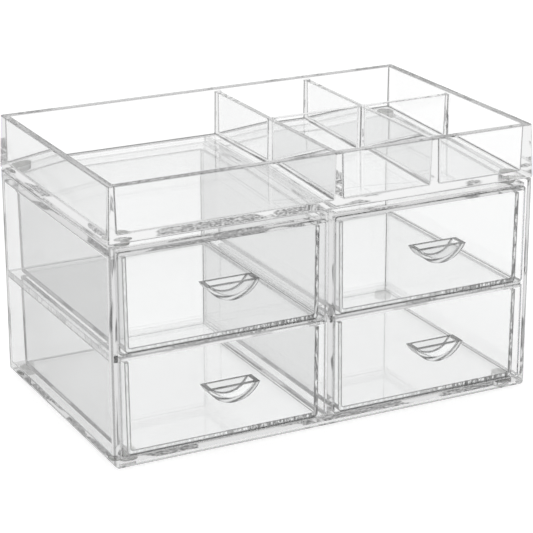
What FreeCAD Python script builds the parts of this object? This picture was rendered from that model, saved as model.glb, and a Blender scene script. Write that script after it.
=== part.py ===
import FreeCAD, Part
import os

# Clear acrylic cosmetics organizer: a cabinet of four drawers with a divided tray standing on it.
# Millimetres. X runs left to right, Y front to back, Z up. The origin is the middle of the footprint,
# pulls included, on the surface that the cabinet's feet stand on.

os.makedirs("parts", exist_ok=True)

V = FreeCAD.Vector
UP = V(0, 0, 1)

# ---------------------------------------------------------------- driving dimensions
# Cabinet shell
width = 305.0              # overall width
depth = 186.0              # front edge of the walls to the back of the back panel
wall = 4.4                 # side walls
partition = 4.1            # wall between the two columns of drawers
back_thick = 4.4           # back panel
slab = 4.5                 # bottom, shelf and top
bay_height = 63.9          # clear height for one drawer
rim_drop = 1.6             # how far the walls reach below the underside of the bottom
rim_gap = 0.8              # seam between the tops of the walls and the tray that stands on the cabinet
shell_corner = 3.5         # outer vertical corners
shell_bottom_round = 4.0   # outer lower edges of the walls
shell_top_round = 0.8      # outer upper edges of the walls
bay_corner = 1.6           # inside corners of a bay
bay_draft = 0.4            # each side of a bay closes in by this towards the back
groove_depth = 1.0         # shelf groove in the walls and in the partition
groove_gap = 0.1           # play of a shelf in its grooves

# Feet
foot_radius = 6.0
foot_height = 3.8
foot_inset = 13.0          # centre of a foot from the nearest two outer faces
tray_foot_height = 3.9

# Drawers
side_gap = 1.0             # drawer front to wall, each side
front_lift = 0.4           # drawer front above the slab under it
front_gap = 1.4            # between the lower and the upper drawer front
front_thick = 3.8
front_corner = 2.0
front_edge = 0.6           # bevel round the face of a drawer front
stop_gap = 0.3             # closed drawer front to the edge of the slab behind it
tub_inset = 4.0            # tub wall inside the edge of the drawer front
tub_back_gap = 8.6         # closed tub to the back panel
tub_wall = 2.8
tub_floor = 3.2
tub_corner = 2.6           # outer upright and lower edges
tub_cove = 1.2             # inner upright and lower edges
tub_draft = 0.6            # each side opens by this from bottom to top
tub_over = 20.0            # the tub's form is drawn this far past its front end
run_gap = 0.3              # tub above the slab that it slides on
head_gap = 1.0             # tub below the slab over it

# Scoop pulls
pull_radius = 20.1
pull_centre_rise = 8.9     # centre of the curve above the flat top
pull_reach = 12.5
pull_wall = 2.6
pull_drop = 27.2           # flat top below the top of the drawer front

# Tray
tray_height = 36.6
tray_lean = 1.5            # each outer side leans in by this from bottom to top
tray_wall = 4.6            # at the rim
tray_floor = 4.0
tray_corner = 1.6          # outer upright and lower edges, and the corners inside the rim
divider = 3.4              # thickness at the top of a divider
divider_drop = 2.0         # divider tops below the rim
pocket_draft = 0.8         # each side of a pocket closes in by this from top to bottom
pocket_corner = 2.0        # upright and lower edges of a pocket
left_pocket = 152.9        # width of the large compartment
middle_pocket = 67.1       # width of the middle pair
front_pocket = 92.1        # front to back of the front pair

# Cutting
past = 1.0                 # a cut is drawn this far past the face that it opens

# ---------------------------------------------------------------- places that follow from them
left = -width / 2
right = width / 2
front = (pull_reach - depth) / 2
back = front + depth
sleeve_end = back - back_thick

bay_width = (width - 2 * wall - partition) / 2
bay_centre = (partition + bay_width) / 2
rim_z = foot_height - rim_drop
bottom_top = foot_height + slab
shelf_z = bottom_top + bay_height
shelf_top = shelf_z + slab
ceiling_z = shelf_top + bay_height
cabinet_top = ceiling_z + slab
slab_front = front + front_thick + stop_gap

plate_width = bay_width - 2 * side_gap
plate_height = bay_height + slab - front_gap
tub_width = plate_width - 2 * tub_inset
tub_height = bay_height - run_gap - head_gap
tub_front = front + front_thick
tub_back = sleeve_end - tub_back_gap

tray_z = cabinet_top + tray_foot_height
wall_top = tray_z - rim_gap
tray_top = tray_z + tray_height
pocket_floor_z = tray_z + tray_floor
divider_top = tray_top - divider_drop

SIDES = {"left": -1, "right": 1}
ENDS = {"front": -1, "back": 1}
LEVELS = {"lower": bottom_top, "upper": shelf_top}


# ---------------------------------------------------------------- drawing helpers
def rounded_rect(u0, u1, v0, v1, r_low, r_high):
    """Closed wire in the XY plane with one radius at its low corners and one at its high corners."""
    arcs = [
        Part.makeCircle(r_low, V(u1 - r_low, v0 + r_low, 0), UP, 270, 360),
        Part.makeCircle(r_high, V(u1 - r_high, v1 - r_high, 0), UP, 0, 90),
        Part.makeCircle(r_high, V(u0 + r_high, v1 - r_high, 0), UP, 90, 180),
        Part.makeCircle(r_low, V(u0 + r_low, v0 + r_low, 0), UP, 180, 270),
    ]
    edges = []
    for i, arc in enumerate(arcs):
        following = arcs[(i + 1) % len(arcs)]
        edges.append(arc)
        edges.append(Part.makeLine(arc.Vertexes[-1].Point, following.Vertexes[0].Point))
    return Part.Wire(edges)


def plan_rect(x0, x1, y0, y1, z, r):
    """Rounded rectangle lying flat at height z."""
    wire = rounded_rect(x0, x1, y0, y1, r, r)
    wire.translate(V(0, 0, z))
    return wire


def face_rect(x0, x1, z0, z1, y, r_low, r_high):
    """Rounded rectangle standing in the XZ plane at depth y."""
    wire = rounded_rect(x0, x1, z0, z1, r_low, r_high)
    wire.rotate(V(0, 0, 0), V(1, 0, 0), 90)
    wire.translate(V(0, y, 0))
    return wire


def box(x0, x1, y0, y1, z0, z1):
    return Part.makeBox(x1 - x0, y1 - y0, z1 - z0, V(x0, y0, z0))


def edges_at(shape, axis, value, tol=1e-4):
    """Edges that lie wholly in one plane across the given axis."""
    found = []
    for edge in shape.Edges:
        ends = [getattr(v.Point, axis) for v in edge.Vertexes]
        if all(abs(end - value) < tol for end in ends):
            found.append(edge)
    return found


def edges_along(shape, axis, length, tol=1e-4):
    """Straight edges that run the given length along one axis, slanted ones included."""
    found = []
    for edge in shape.Edges:
        ends = [getattr(v.Point, axis) for v in edge.Vertexes]
        if max(ends) - min(ends) > length - tol:
            found.append(edge)
    return found


def grown(rect, step):
    """Rectangle (x0, x1, y0, y1) moved outwards on every side."""
    return (rect[0] - step, rect[1] + step, rect[2] - step, rect[3] + step)


def flat_taper(low, high, z0, z1):
    """Block with flat sloping sides between two rectangles at heights z0 and z1."""
    block = Part.makeWedge(low[0], z0, -low[3], -high[3], high[0], low[1], z1, -low[2], -high[2], high[1])
    block.rotate(V(0, 0, 0), V(1, 0, 0), 90)
    return block


def moulded_form(low, high, z0, z1, r):
    """Form with sloping sides, as a mould makes it; its upright and lower edges are rounded."""
    form = flat_taper(low, high, z0, z1)
    return form.makeFillet(r, edges_along(form, "z", z1 - z0) + edges_at(form, "z", z0))


# ---------------------------------------------------------------- cabinet
def cabinet_envelope():
    """Outer form of the cabinet: its front outline and its plan outline, each with its own corners."""
    outline = face_rect(left, right, rim_z, wall_top, front, shell_bottom_round, shell_top_round)
    plan = plan_rect(left, right, front, back, rim_z, shell_corner)
    along = Part.Face(outline).extrude(V(0, depth, 0))
    upward = Part.Face(plan).extrude(V(0, 0, wall_top - rim_z))
    return along.common(upward)


def bay(centre):
    """One column of the shell, open at the front, a little narrower at the back."""
    half = bay_width / 2
    tight = half - bay_draft
    wide = (centre - half, centre + half)
    narrow = (centre - tight, centre + tight)
    column = Part.makeWedge(wide[0], front, bottom_top, bottom_top, narrow[0],
                            wide[1], sleeve_end, ceiling_z, ceiling_z, narrow[1])
    return column.makeFillet(bay_corner, edges_along(column, "y", sleeve_end - front))


def front_rebate(centre):
    """Room in front of the top slab, where the upper drawer front closes against it."""
    half = bay_width / 2
    low = ceiling_z - bay_corner
    return box(centre - half, centre + half, front - past, slab_front, low, wall_top + past)


def top_recess(centre):
    """Recess over the top slab: the walls stand up round it and hide the feet of the tray."""
    half = bay_width / 2
    return box(centre - half, centre + half, slab_front - past, sleeve_end, cabinet_top, wall_top + past)


def shelf_groove(centre):
    reach = bay_width / 2 + groove_depth
    return box(centre - reach, centre + reach, slab_front, sleeve_end, shelf_z, shelf_top + groove_gap)


def underside_recess():
    """Shallow recess inside the rim, which the feet are seated in."""
    plan = plan_rect(left + wall, right - wall, front + wall, back + wall, rim_z - past, bay_corner)
    return Part.Face(plan).extrude(V(0, 0, rim_drop + past))


def cabinet_frame():
    shell = cabinet_envelope().common(box(left, right, front, sleeve_end, 0, wall_top))
    shell = shell.cut(underside_recess())
    for side in SIDES.values():
        centre = side * bay_centre
        shell = shell.cut(bay(centre))
        shell = shell.cut(front_rebate(centre))
        shell = shell.cut(top_recess(centre))
        shell = shell.cut(shelf_groove(centre))
    return shell


def cabinet_back_panel():
    return cabinet_envelope().common(box(left, right, sleeve_end, back, 0, wall_top))


def shelf(side):
    centre = side * bay_centre
    reach = bay_width / 2 + groove_depth - groove_gap
    return box(centre - reach, centre + reach, slab_front, sleeve_end, shelf_z, shelf_top)


# ---------------------------------------------------------------- feet
def foot(x, y, z_seat, height):
    """Stick-on bumper: a low soft disc."""
    return Part.makeCylinder(foot_radius, height, V(x, y, z_seat - height), UP)


def foot_places():
    """Name and position of the four feet, the same under the cabinet and under the tray."""
    places = {}
    for end, along in ENDS.items():
        for name, side in SIDES.items():
            x = side * (width / 2 - foot_inset)
            y = (front + back) / 2 + along * (depth / 2 - foot_inset)
            places[end + "_" + name] = (x, y)
    return places


# ---------------------------------------------------------------- drawers
def tub_form(centre, inset, z_low, z_top, corner):
    """Tapered form of the tub, carried on past its front end, which is cut open later."""
    half = tub_width / 2 - inset
    high = (centre - half, centre + half, tub_front - tub_over, tub_back - inset)
    closing = tub_draft / tub_height * (z_top - z_low)
    return moulded_form(grown(high, -closing), high, z_low, z_top, corner)


def drawer_tub(side, slab_z):
    """Moulded tub, open at its front end, where the drawer front is bonded on."""
    centre = side * bay_centre
    half = tub_width / 2
    z_low = slab_z + run_gap
    z_top = z_low + tub_height
    outer = tub_form(centre, 0, z_low, z_top, tub_corner)
    inner = tub_form(centre, tub_wall, z_low + tub_floor, z_top, tub_cove)
    front_end = box(centre - half, centre + half, tub_front - tub_over, tub_front, z_low, z_top)
    return outer.cut(inner).cut(front_end)


def drawer_front(side, slab_z):
    centre = side * bay_centre
    half = plate_width / 2
    z_low = slab_z + front_lift
    z_high = z_low + plate_height
    outline = face_rect(centre - half, centre + half, z_low, z_high, front, front_corner, front_corner)
    plate = Part.Face(outline).extrude(V(0, front_thick, 0))
    return plate.makeChamfer(front_edge, edges_at(plate, "y", front))


def half_moon(centre, z_top, y_tip, radius):
    """Flat-topped slice of a round bar that runs from the drawer front to y_tip."""
    axis_z = z_top + pull_centre_rise
    bar = Part.makeCylinder(radius, front - y_tip, V(centre, front, axis_z), V(0, -1, 0))
    reach = radius + past
    above = box(centre - reach, centre + reach, y_tip - past, front + past, z_top, axis_z + reach)
    return bar.cut(above)


def drawer_pull(side, slab_z):
    """Scoop with a half-moon face: a curved shell, open at the top for the fingers."""
    centre = side * bay_centre
    z_top = slab_z + front_lift + plate_height - pull_drop
    tip_y = front - pull_reach
    body = half_moon(centre, z_top, tip_y, pull_radius)
    hollow = half_moon(centre, z_top, tip_y + pull_wall, pull_radius - pull_wall)
    return body.cut(hollow)


# ---------------------------------------------------------------- tray
def tray_rim():
    """Outer outline of the tray at its rim, as a rectangle (x0, x1, y0, y1)."""
    return grown((left, right, front, back), -tray_lean)


def tray_pockets():
    """The five compartments as rectangles: one deep one at the left, then two pairs."""
    inside = grown(tray_rim(), -tray_wall)
    x_middle = inside[0] + left_pocket + divider
    x_end = x_middle + middle_pocket + divider
    y_split = inside[2] + front_pocket
    columns = [(x_middle, x_middle + middle_pocket), (x_end, inside[1])]
    rows = [(inside[2], y_split), (y_split + divider, inside[3])]
    pockets = [(inside[0], inside[0] + left_pocket, inside[2], inside[3])]
    for x0, x1 in columns:
        for y0, y1 in rows:
            pockets.append((x0, x1, y0, y1))
    return pockets


def tray():
    """Moulded tray: walls that lean in to the rim, and drafted compartments under a common opening."""
    rim = tray_rim()
    body = moulded_form((left, right, front, back), rim, tray_z, tray_top, tray_corner)
    x0, x1, y0, y1 = grown(rim, -tray_wall)
    opening = plan_rect(x0, x1, y0, y1, divider_top, tray_corner)
    body = body.cut(Part.Face(opening).extrude(V(0, 0, divider_drop + past)))
    for pocket in tray_pockets():
        floor = grown(pocket, -pocket_draft)
        body = body.cut(moulded_form(floor, pocket, pocket_floor_z, divider_top, pocket_corner))
    return body


# ---------------------------------------------------------------- write every piece
def all_pieces():
    pieces = {"cabinet_frame": cabinet_frame(), "cabinet_back_panel": cabinet_back_panel(), "tray": tray()}
    for name, side in SIDES.items():
        pieces["shelf_" + name] = shelf(side)
        for level, slab_z in LEVELS.items():
            tail = level + "_" + name
            pieces["drawer_tub_" + tail] = drawer_tub(side, slab_z)
            pieces["drawer_front_" + tail] = drawer_front(side, slab_z)
            pieces["drawer_pull_" + tail] = drawer_pull(side, slab_z)
    for place, (x, y) in foot_places().items():
        pieces["cabinet_foot_" + place] = foot(x, y, foot_height, foot_height)
        pieces["tray_foot_" + place] = foot(x, y, tray_z, tray_foot_height)
    return pieces


for node, shape in all_pieces().items():
    extent = shape.BoundBox
    print("%-28s valid %s solids %d volume %9.1f  x %.1f..%.1f y %.1f..%.1f z %.1f..%.1f" % (
        node, shape.isValid(), len(shape.Solids), shape.Volume,
        extent.XMin, extent.XMax, extent.YMin, extent.YMax, extent.ZMin, extent.ZMax))
    shape.exportStep("parts/" + node + ".step")
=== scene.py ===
# %% [markdown]
# # A clear acrylic organizer with four drawers
# The object is a low cabinet of clear acrylic with four drawers, and a loose divided tray that
# stands on it on small bumper feet. The solids come from the imported model, so the lesson is about
# light: clear plastic has no colour of its own, and what we see are its edges, its corners and what
# it bends. First the model is loaded.

# %% Load the imported model
import math

import bpy
from mathutils import Matrix, Vector


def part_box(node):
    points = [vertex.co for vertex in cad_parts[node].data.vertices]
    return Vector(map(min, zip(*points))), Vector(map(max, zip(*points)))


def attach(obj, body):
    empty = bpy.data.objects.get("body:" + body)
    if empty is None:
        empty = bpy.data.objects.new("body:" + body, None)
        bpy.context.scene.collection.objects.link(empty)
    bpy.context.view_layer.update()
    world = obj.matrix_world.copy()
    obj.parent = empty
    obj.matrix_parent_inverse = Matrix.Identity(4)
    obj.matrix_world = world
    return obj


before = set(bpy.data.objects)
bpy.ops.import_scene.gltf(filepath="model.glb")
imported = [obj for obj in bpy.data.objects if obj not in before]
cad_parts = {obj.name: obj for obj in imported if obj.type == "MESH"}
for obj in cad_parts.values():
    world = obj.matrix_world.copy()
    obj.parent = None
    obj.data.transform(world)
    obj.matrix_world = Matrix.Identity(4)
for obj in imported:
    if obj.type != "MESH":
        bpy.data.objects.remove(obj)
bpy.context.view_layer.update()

# %% [markdown]
# ## Where the camera stands
# The organizer is seen from its front left and a little from above. The camera is described as one
# sets it up by hand: how far it is turned, how high it looks from, how far off it stands and what it
# aims at. Angles are easier to correct than three bare coordinates, so the place is worked out.

# %% Work out the camera's place
view_turn = math.radians(-27.12)
view_height = math.radians(19.47)
view_roll = math.radians(-0.11)
view_distance = 1.4216
aim = Vector((0.0, 0.00475, 0.0937))
slide_right = 0.00082
slide_up = -0.01025

back = Vector((math.sin(view_turn) * math.cos(view_height),
               -math.cos(view_turn) * math.cos(view_height),
               math.sin(view_height)))
level_right = Vector((math.cos(view_turn), math.sin(view_turn), 0.0))
level_up = back.cross(level_right)
right = math.cos(view_roll) * level_right + math.sin(view_roll) * level_up
up = -math.sin(view_roll) * level_right + math.cos(view_roll) * level_up
camera_spot = aim + slide_right * right + slide_up * up + view_distance * back
print("camera stands at", [round(v, 3) for v in camera_spot])

# %% [markdown]
# ## The lens
# A wide lens close by would spread the upright edges apart. A long lens from far away keeps them
# nearly parallel, so the shape reads plainly. The camera's three directions make one matrix, which
# is surer than aiming it with a constraint.

# %% Put up the camera
lens = bpy.data.cameras.new("camera")
lens.sensor_width = 36.0
lens.lens = 142.1
lens.clip_start = 0.05
lens.clip_end = 50.0
camera = bpy.data.objects.new("camera", lens)
bpy.context.scene.collection.objects.link(camera)
camera_turn = Matrix((right, up, back)).transposed().to_4x4()
camera.matrix_world = Matrix.Translation(camera_spot) @ camera_turn
bpy.context.scene.camera = camera
print("lens:", round(lens.lens, 1), "mm")

# %% [markdown]
# ## Small tools for shaders
# A shader is a graph of nodes. Written out in full, each node takes three or four lines, and the
# idea drowns. These helpers add one node at a time and fill its inputs, with plain values or with
# what another node gives, so that each finish further on reads as a short recipe.

# %% Make the tools for shaders
def add_node(tree, kind, inputs=None, **settings):
    """Add one shader node. An input takes a plain value or the output of another node."""
    node = tree.nodes.new("ShaderNode" + kind)
    for name, value in settings.items():
        setattr(node, name, value)
    for name, value in (inputs or {}).items():
        if isinstance(value, bpy.types.NodeSocket):
            tree.links.new(value, node.inputs[name])
        else:
            node.inputs[name].default_value = value
    return node


def sum_of(tree, operation, first, second):
    """One sum on two numbers, such as MULTIPLY or MAXIMUM."""
    return add_node(tree, "Math", {0: first, 1: second}, operation=operation).outputs["Value"]


def stretch_range(tree, value, low, high, to_low=0.0, to_high=1.0):
    """Turn low to high into to_low to to_high, and stay at the ends outside them."""
    ends = {"Value": value, "From Min": low, "From Max": high, "To Min": to_low, "To Max": to_high}
    return add_node(tree, "MapRange", ends).outputs["Result"]


def mixed(tree, share, first, second):
    """Two shaders in one: the first where share is 0, the second where it is 1."""
    return add_node(tree, "MixShader", {0: share, 1: first, 2: second}).outputs["Shader"]


def grey(level):
    """A plain grey as a colour."""
    return (level, level, level, 1)


print("a middle grey is", grey(0.5))

# %% [markdown]
# ## The sky
# The room is a white tent. Lamps would put hard glints on every edge of clear plastic, so a bright
# sky lights it from all round instead. It is white low down, grey higher up and pale again straight
# overhead, because clear plastic shows nothing but what it bends: a plain white sky would make it
# vanish. A ray that was mirrored finds the sky a little darker, so that edges stand out.

# %% Shade the sky
bpy.context.scene.view_settings.view_transform = "Standard"
sky = bpy.data.worlds.new("tent")
bpy.context.scene.world = sky
sky.use_nodes = True
tent = sky.node_tree
tent.nodes.clear()

ONCE = 0.5                 # more than this many bounces means at least one
MIRRORED_SKY = 0.85        # how bright the sky is for a ray that was mirrored
horizon_to_top = ((0.0, 1.0), (0.38, 1.0), (0.5, 0.45), (0.75, 0.35), (1.0, 0.85))

direction = add_node(tent, "TexCoord").outputs["Generated"]
height_in_sky = add_node(tent, "SeparateXYZ", {"Vector": direction}).outputs["Z"]
sky_ramp = add_node(tent, "ValToRGB", {"Fac": height_in_sky})
stops = sky_ramp.color_ramp.elements
stops[0].color = grey(horizon_to_top[0][1])
stops[1].color = grey(horizon_to_top[-1][1])
for place, level in horizon_to_top[1:-1]:
    stops.new(place).color = grey(level)
print("sky: greys from the horizon up", [level for place, level in horizon_to_top])

# %% [markdown]
# ## White behind the object
# Straight behind the object the sky has to be plain white, as a paper backdrop is. Light Path knows
# which rays come right from the camera. Only those see white, and the plastic keeps its shaded sky.

# %% Show white to the camera
sky_path = add_node(tent, "LightPath").outputs
was_mirrored = sum_of(tent, "GREATER_THAN", sky_path["Glossy Depth"], ONCE)
dimmed = stretch_range(tent, was_mirrored, 0.0, 1.0, 1.0, MIRRORED_SKY)
shaded_sky = add_node(tent, "Background", {"Color": sky_ramp.outputs["Color"], "Strength": dimmed})
white_sky = add_node(tent, "Background", {"Color": grey(1)})
backdrop = mixed(tent, sky_path["Is Camera Ray"],
                 shaded_sky.outputs["Background"], white_sky.outputs["Background"])
add_node(tent, "OutputWorld", {"Surface": backdrop})
print("sky: white to the camera, shaded to the plastic")

# %% [markdown]
# ## The floor
# The organizer stands on a white sheet that reaches far beyond the view. One large square is all
# that a flat sheet needs. It is marked as the stage, since it isn't part of the object.

# %% Lay the floor
FLOOR_REACH = 6.0


def flat_sheet(name, reach):
    """A square mesh at height zero that goes as far as reach each way."""
    mesh = bpy.data.meshes.new(name)
    corners = [(-reach, -reach, 0), (reach, -reach, 0), (reach, reach, 0), (-reach, reach, 0)]
    mesh.from_pydata(corners, [], [(0, 1, 2, 3)])
    sheet = bpy.data.objects.new(name, mesh)
    bpy.context.scene.collection.objects.link(sheet)
    return sheet


floor = flat_sheet("floor", FLOOR_REACH)
print("floor:", round(floor.dimensions.x, 1), "m square")

# %% [markdown]
# ## The floor's paint
# The object gets its light back from a matt pale floor. To the camera, and through the plastic, the
# floor glows so that it merges with the white sky, and a thin veil of matt paint over the glow keeps
# the object's soft shadow. A ray that was mirrored sees a painted grey: a painted dark reflection
# that does the work of the dark card stood beside glass in a studio to draw its edges.

# %% Paint the floor
FLOOR_GLOW = 0.75
FLOOR_VEIL = 0.6
FLOOR_MATT = 0.8
PAINTED_REFLECTION_GREY = 0.45

floor_paint = bpy.data.materials.new("pale_floor")
floor_paint.use_nodes = True
paint = floor_paint.node_tree
paint.nodes.clear()
glow = add_node(paint, "Emission", {"Color": grey(1), "Strength": FLOOR_GLOW})
veil = add_node(paint, "BsdfDiffuse", {"Color": grey(FLOOR_VEIL)})
seen_floor = add_node(paint, "AddShader", {0: glow.outputs["Emission"], 1: veil.outputs["BSDF"]})
matt = add_node(paint, "BsdfDiffuse", {"Color": grey(FLOOR_MATT)})
# Mirrored rays see this glowing grey: a painted dark reflection that draws the plastic's edges.
painted_reflection = add_node(paint, "Emission", {"Color": grey(PAINTED_REFLECTION_GREY)})

floor_path = add_node(paint, "LightPath").outputs
seen = sum_of(paint, "MAXIMUM", floor_path["Is Camera Ray"], floor_path["Is Glossy Ray"])
seen = sum_of(paint, "MAXIMUM", seen, floor_path["Is Transmission Ray"])
was_mirrored = sum_of(paint, "GREATER_THAN", floor_path["Glossy Depth"], ONCE)
surface = mixed(paint, seen, matt.outputs["BSDF"], seen_floor.outputs["Shader"])
surface = mixed(paint, was_mirrored, surface, painted_reflection.outputs["Emission"])
add_node(paint, "OutputMaterial", {"Surface": surface})
floor.data.materials.append(floor_paint)
print("floor paint:", len(paint.nodes), "nodes")

# %% [markdown]
# ## Dark lines along the edges
# On real acrylic every edge shows as a thin dark line, because the tiny rounding there bends light
# from far round. The solids have knife-sharp edges, so the line is painted shade, laid into the
# plastic's colour. Real roundings would cost thousands of faces, so the Bevel node is used as a
# feeler: near an edge it gives a normal that is turned away from the face's own, and the more it
# turns, the nearer the edge. Rounded corners that the solids do have are found by their normals,
# which point along none of the three axes, and get the same painted shade.

# %% Find the edges
EDGE_REACH = 0.0016
LINE_STARTS, LINE_FULL = 0.95, 0.78        # how alike the two normals still are
RIM_STARTS, RIM_FULL = 0.995, 0.93


def edges(tree, turned_from, turned_to):
    """Two masks: where the painted dark line of shade goes on edges and rounded corners, and a wider
    rim along the edges.
    """
    feeler = add_node(tree, "Bevel", {"Radius": EDGE_REACH}, samples=2).outputs["Normal"]
    own = add_node(tree, "NewGeometry").outputs["Normal"]
    alike = add_node(tree, "VectorMath", {0: feeler, 1: own}, operation="DOT_PRODUCT")
    alike = alike.outputs["Value"]
    sharp = stretch_range(tree, alike, LINE_STARTS, LINE_FULL)
    rim = stretch_range(tree, alike, RIM_STARTS, RIM_FULL)
    size = add_node(tree, "VectorMath", {0: own}, operation="ABSOLUTE").outputs["Vector"]
    along = add_node(tree, "SeparateXYZ", {"Vector": size}).outputs
    most = sum_of(tree, "MAXIMUM", along["X"], along["Y"])
    most = sum_of(tree, "MAXIMUM", most, along["Z"])
    turned = stretch_range(tree, most, turned_from, turned_to)
    return sum_of(tree, "MAXIMUM", sharp, turned), rim


print("edges are felt from", EDGE_REACH * 1000, "mm away")

# %% [markdown]
# ## Polish marks
# Sawn and flame-polished edges keep short ripples across their thickness. Two noises make them: a
# fine one, drawn out along the height, gives the ripples, and a coarse one leaves them in patches
# only. They ride in the piece's own coordinates, so a drawer takes its marks along when it moves.

# %% Make the polish marks
RIPPLES_PER_METRE = (520, 520, 70)
PATCHES_PER_METRE = 22.0
PATCH_STARTS, PATCH_FULL = 0.49, 0.55


def polish_marks(tree, where, up_to):
    """Ripples, and the patches that they are in. None above the share up_to of the height."""
    drawn_out = add_node(tree, "Mapping", {"Vector": where["Object"],
                                           "Scale": RIPPLES_PER_METRE})
    ripples = add_node(tree, "TexNoise", {"Vector": drawn_out.outputs["Vector"],
                                          "Scale": 1.0, "Detail": 2.0}).outputs["Fac"]
    coarse = add_node(tree, "TexNoise", {"Vector": where["Object"],
                                         "Scale": PATCHES_PER_METRE,
                                         "Detail": 1.0}).outputs["Fac"]
    patches = stretch_range(tree, coarse, PATCH_STARTS, PATCH_FULL)
    height = add_node(tree, "SeparateXYZ", {"Vector": where["Generated"]}).outputs["Z"]
    low_down = sum_of(tree, "LESS_THAN", height, up_to)
    return ripples, sum_of(tree, "MULTIPLY", low_down, patches)


print("polish marks: about", RIPPLES_PER_METRE[0] // 10, "ripples to 10 cm")

# %% [markdown]
# ## The plastic itself
# Acrylic is a glass-like body with an index of 1.49 and hardly any tint. One Principled shader with
# full transmission bends and mirrors light as it should. The dark lines are painted shade and come
# in as its colour, and the ripples as a bump. Only the rim along the edges has the bump, since the
# panels are cast flat.

# %% Mix the plastic
INDEX = 1.49
WATER_CLEAR = (0.995, 0.997, 0.997, 1)
RIPPLE_DEPTH = 0.00015
LIP_STARTS, LIP_FULL = 0.97, 0.99          # share of the piece's height


def plastic(tree, where, line, painted_lip_darkness, painted_line_grey, ripples, patches, rim):
    """Bent and mirrored light, with dark lines of painted shade, and a flat top painted darker where
    asked for.
    """
    height = add_node(tree, "SeparateXYZ", {"Vector": where["Generated"]}).outputs["Z"]
    # The top of the piece is painted darker: painted shade for the dark line along its top edge.
    painted_lip_shade = stretch_range(tree, height, LIP_STARTS, LIP_FULL, 0.0, painted_lip_darkness)
    drawn = sum_of(tree, "MAXIMUM", line, painted_lip_shade)
    # Painted shade: the clear colour turns grey along edges and rounded corners.
    colour_with_painted_lines = add_node(tree, "Mix", {"Factor": drawn, "A": WATER_CLEAR, "B": grey(painted_line_grey)},
                    data_type="RGBA")
    marked_rim = sum_of(tree, "MULTIPLY", patches, rim)
    depth = sum_of(tree, "MULTIPLY", ripples, marked_rim)
    bump = add_node(tree, "Bump", {"Height": depth, "Strength": 1.0, "Distance": RIPPLE_DEPTH})
    body = add_node(tree, "BsdfPrincipled", {"Base Color": colour_with_painted_lines.outputs["Result"],
                                             "Normal": bump.outputs["Normal"]})
    body.inputs["Transmission Weight"].default_value = 1.0
    body.inputs["IOR"].default_value = INDEX
    body.inputs["Roughness"].default_value = 0.0
    return body.outputs["BSDF"]


print("index of the plastic:", INDEX)

# %% [markdown]
# ## Light that is caught
# In a real panel light runs on from face to face, hundreds of times, and comes out at the edges as a
# soft grey. A renderer stops after a few bounces and leaves black there. So a ray that has been
# mirrored three times ends in the grey that it would pick up in the end, darker where the ripples
# are, and one that has passed through very many faces ends in a pale grey.

# %% End the caught light
CAUGHT_AT = 2.5
DEEP_AT = 10.5
DEEP_GREY = 0.85
PALE_RIPPLE, DARK_RIPPLE = 0.3, 0.6


def end_caught_light(tree, body, caught_pale, caught_dark, ripples, patches):
    """Swap the body for a plain grey where a ray has bounced too often."""
    path = add_node(tree, "LightPath").outputs
    is_caught = sum_of(tree, "GREATER_THAN", path["Glossy Depth"], CAUGHT_AT)
    is_deep = sum_of(tree, "GREATER_THAN", path["Ray Depth"], DEEP_AT)
    spots = sum_of(tree, "MULTIPLY", ripples, patches)
    shades = add_node(tree, "ValToRGB", {"Fac": spots})
    pale, dark = shades.color_ramp.elements
    pale.position, pale.color = PALE_RIPPLE, grey(caught_pale)
    dark.position, dark.color = DARK_RIPPLE, grey(caught_dark)
    caught = add_node(tree, "Emission", {"Color": shades.outputs["Color"]}).outputs["Emission"]
    deep = add_node(tree, "Emission", {"Color": grey(DEEP_GREY)}).outputs["Emission"]
    return mixed(tree, is_caught, mixed(tree, is_deep, body, deep), caught)


print("a ray is caught when it has been mirrored", math.ceil(CAUGHT_AT), "times")

# %% [markdown]
# ## Set cement
# A tub is bonded to its drawer front along its front rim, and the shelves are bonded at their two
# ends. The solvent cement leaves slanted streaks there, thickest at the tub's right, where it ran
# in. Sheets of cement as pieces of their own would be thinner than a hair, so the streaks are laid
# on the bonded faces, which Generated coordinates find: they run from 0 to 1 across each piece.

# %% Lay on the cement
CEMENT_COVER = 0.55
CEMENT_GREY = 0.75
STREAK_STARTS, STREAK_FULL = 0.38, 0.62
STREAK_SLANT = (0, 0.7, 0)
STREAKS_PER_METRE = (560, 300, 170)
RUN_FROM, RUN_TO = 0.35, 0.75              # share of the width from the left
TUB_LEFT, SHELF_LEFT = 0.15, 0.8           # how much cement is at the left
RIM_EDGE, RIM_FACE = 0.004, 0.002          # share of the tub's length
END_EDGE, END_FACE = 0.246, 0.248          # square of the distance from the middle


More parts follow.
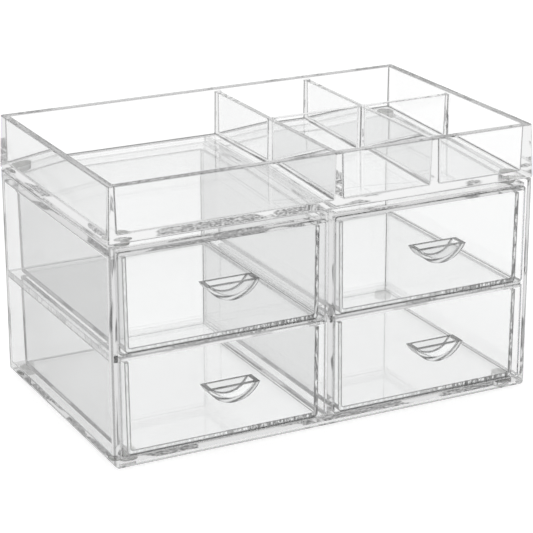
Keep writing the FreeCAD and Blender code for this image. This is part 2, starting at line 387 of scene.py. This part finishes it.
def cement_streaks(tree, where, bond, plain):
    """Streaks on a tub's front rim, or on the two ends of a shelf."""
    across = add_node(tree, "SeparateXYZ", {"Vector": where["Generated"]}).outputs
    if bond == "front rim":
        bonded = stretch_range(tree, across["Y"], RIM_EDGE, RIM_FACE)
        run = stretch_range(tree, across["X"], RUN_FROM, RUN_TO, TUB_LEFT)
    else:
        off_middle = sum_of(tree, "SUBTRACT", across["X"], 0.5)
        off_middle = sum_of(tree, "MULTIPLY", off_middle, off_middle)
        bonded = stretch_range(tree, off_middle, END_EDGE, END_FACE)
        run = stretch_range(tree, across["X"], RUN_FROM, RUN_TO, SHELF_LEFT)
    slant = add_node(tree, "Mapping", {"Vector": where["Object"], "Rotation": STREAK_SLANT,
                                       "Scale": STREAKS_PER_METRE}).outputs["Vector"]
    streaks = add_node(tree, "TexNoise", {"Vector": slant, "Scale": 1.0, "Detail": 1.5})
    strength = stretch_range(tree, streaks.outputs["Fac"],
                             STREAK_STARTS, STREAK_FULL, 0.0, CEMENT_COVER)
    shown = sum_of(tree, "MULTIPLY", strength, run)
    shown = sum_of(tree, "MULTIPLY", shown, bonded)
    cement = add_node(tree, "BsdfDiffuse", {"Color": grey(CEMENT_GREY)}).outputs["BSDF"]
    return mixed(tree, shown, plain, cement)


print("cement covers up to", CEMENT_COVER, "of a bonded face")

# %% [markdown]
# ## One recipe for clear acrylic
# All panels are the same plastic, but thick and thin pieces catch light differently, so each kind
# gets its own greys from one recipe. Light on its way from the sky passes almost freely: real clear
# plastic throws bright, thin shadows, and refracted ones would take far too many samples.

# %% Write the recipe
THROUGH = 0.95
EVERYWHERE = 2.0                           # beyond the top, so no part is left out
CORNER = (0.90, 0.80)                      # how close to an axis a corner's normal points


def clear_acrylic(name, caught, painted_line_grey, painted_lip_darkness=0.0, bond=None, marks_up_to=EVERYWHERE,
                  turned=CORNER):
    """Water-clear plastic. caught: the pale and the dark grey of the light caught inside."""
    finish = bpy.data.materials.new(name)
    finish.use_nodes = True
    tree = finish.node_tree
    tree.nodes.clear()
    where = add_node(tree, "TexCoord").outputs
    line, rim = edges(tree, turned[0], turned[1])
    ripples, patches = polish_marks(tree, where, marks_up_to)
    body = plastic(tree, where, line, painted_lip_darkness, painted_line_grey, ripples, patches, rim)
    look = end_caught_light(tree, body, caught[0], caught[1], ripples, patches)
    if bond:
        look = cement_streaks(tree, where, bond, look)
    shadow = add_node(tree, "BsdfTransparent", {"Color": grey(THROUGH)}).outputs["BSDF"]
    is_shadow = add_node(tree, "LightPath").outputs["Is Shadow Ray"]
    add_node(tree, "OutputMaterial", {"Surface": mixed(tree, is_shadow, look, shadow)})
    return finish


print("shadows let through", THROUGH, "of the light at each face")

# %% [markdown]
# ## The finishes
# The tray is the thickest and palest piece. Its rim has a painted grey line of shade all round, and
# its marks stay low, near the floor. The tubs catch the most light. On the pulls nearly every face
# is curved, so only their steepest parts count as corners, and their flat top edges get strong
# painted dark lines.

# %% Mix the clear finishes
finishes = {
    "cabinet": clear_acrylic("cabinet_acrylic", (0.77, 0.15), 0.32),
    "shelf": clear_acrylic("shelf_acrylic", (0.90, 0.6), 0.6, bond="ends"),
    "tray": clear_acrylic("tray_acrylic", (0.92, 0.25), 0.12, painted_lip_darkness=0.7, marks_up_to=0.3),
    "tub": clear_acrylic("tub_acrylic", (0.52, 0.12), 0.24, bond="front rim"),
    "front": clear_acrylic("front_acrylic", (0.68, 0.25), 0.32),
    "pull": clear_acrylic("pull_acrylic", (0.45, 0.1), 0.1, painted_lip_darkness=0.9, turned=(0.705, 0.70)),
}
for kind, finish in finishes.items():
    print(kind, "has", len(finish.node_tree.nodes), "nodes")

# %% [markdown]
# ## The bumper feet
# The feet are soft clear bumpers: milky, satin and softer in their shine than the acrylic. Part of
# the light passes, the rest is scattered, and a fine grain varies the roughness, as on moulded
# rubber. This is plain enough for one Principled shader.

# %% Mix the bumpers' finish
MILKY = (0.86, 0.86, 0.85, 1)
LIGHT_PASSED = 0.75
SOFT_INDEX = 1.43
GRAIN_SCALE = 900.0
SMOOTHEST, ROUGHEST = 0.25, 0.45


def soft_bumper(name):
    """Soft clear bumper: milky, satin, with a fine grain."""
    finish = bpy.data.materials.new(name)
    finish.use_nodes = True
    tree = finish.node_tree
    body = tree.nodes["Principled BSDF"]
    body.inputs["Base Color"].default_value = MILKY
    body.inputs["Transmission Weight"].default_value = LIGHT_PASSED
    body.inputs["IOR"].default_value = SOFT_INDEX
    grain = add_node(tree, "TexNoise", {"Scale": GRAIN_SCALE}).outputs["Fac"]
    satin = stretch_range(tree, grain, 0.0, 1.0, SMOOTHEST, ROUGHEST)
    tree.links.new(satin, body.inputs["Roughness"])
    return finish


finishes["bumper"] = soft_bumper("soft_bumper")
print("finishes:", sorted(finishes))

# %% [markdown]
# ## A finish for every piece
# The pieces are named for what they are, so the name says which finish it takes. Only the material
# changes here. The solids keep their shapes and places, because they are the true ones.

# %% Give each piece its finish
def kind_of(name):
    """Which finish a piece takes, from the words in its name."""
    words = name.split("_")
    if "foot" in words:
        return "bumper"
    if words[0] == "drawer":
        return words[1]
    if words[0] in ("tray", "shelf"):
        return words[0]
    return "cabinet"


for name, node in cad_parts.items():
    node.data.materials.clear()
    node.data.materials.append(finishes[kind_of(name)])
print("finishes on", len(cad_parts), "pieces")

# %% [markdown]
# ## The flat back of a pull
# A scoop pull is moulded with a flat back, which is bonded to the drawer front and whose top edge
# shows as a straight line. It is a segment of a disc that fills the outline of the pull's hollow.
# The disc's radius follows from the width and the depth of the pull's box, less its wall, and an
# arc of short straight runs is extruded by the thickness of the back.

# %% Draw the back's outline
PULL_WALL = 0.0026
ARC_RUNS = 24


def hollow_outline(low, high):
    """Points (x, z) along the hollow's arc, from one end of the flat top round to the other."""
    half = (high.x - low.x) / 2
    deep = high.z - low.z
    outer = (half * half + deep * deep) / (2 * deep)
    inner = outer - PULL_WALL
    middle = (low.x + high.x) / 2
    centre_z = high.z + outer - deep
    reach = math.acos((outer - deep) / inner)
    points = []
    for i in range(ARC_RUNS + 1):
        angle = -reach + 2 * reach * i / ARC_RUNS
        points.append((middle + inner * math.sin(angle), centre_z - inner * math.cos(angle)))
    return points


print("wall of a pull:", round(PULL_WALL * 1000, 1), "mm, arc of", ARC_RUNS, "runs")

# %% [markdown]
# ## Back plates in place
# The outline becomes a closed plate: one face at the drawer front, one towards the room, and a strip
# all round. Each plate rides on its own drawer, so it slides along with the pull that it belongs to.

# %% Fit the backs
PULL_BACK = 0.001


def pull_back(name, low, high):
    """A closed plate of the hollow's outline, flat against the drawer front."""
    outline = hollow_outline(low, high)
    count = len(outline)
    corners = [(x, high.y, z) for x, z in outline]
    corners += [(x, high.y - PULL_BACK, z) for x, z in outline]
    faces = [tuple(range(count - 1, -1, -1)), tuple(range(count, 2 * count))]
    for i in range(count):
        j = (i + 1) % count
        faces.append((i, j, j + count, i + count))
    mesh = bpy.data.meshes.new(name)
    mesh.from_pydata(corners, [], faces)
    mesh.update()
    piece = bpy.data.objects.new(name, mesh)
    bpy.context.scene.collection.objects.link(piece)
    return piece


for name in sorted(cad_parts):
    if name.startswith("drawer_pull_"):
        spot = name[len("drawer_pull_"):]
        low, high = (Vector(corner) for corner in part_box(name))
        piece = pull_back("drawer_pull_back_" + spot, low, high)
        piece.data.materials.append(finishes["pull"])
        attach(piece, "drawer_" + spot)
        print(piece.name, "on drawer_" + spot)
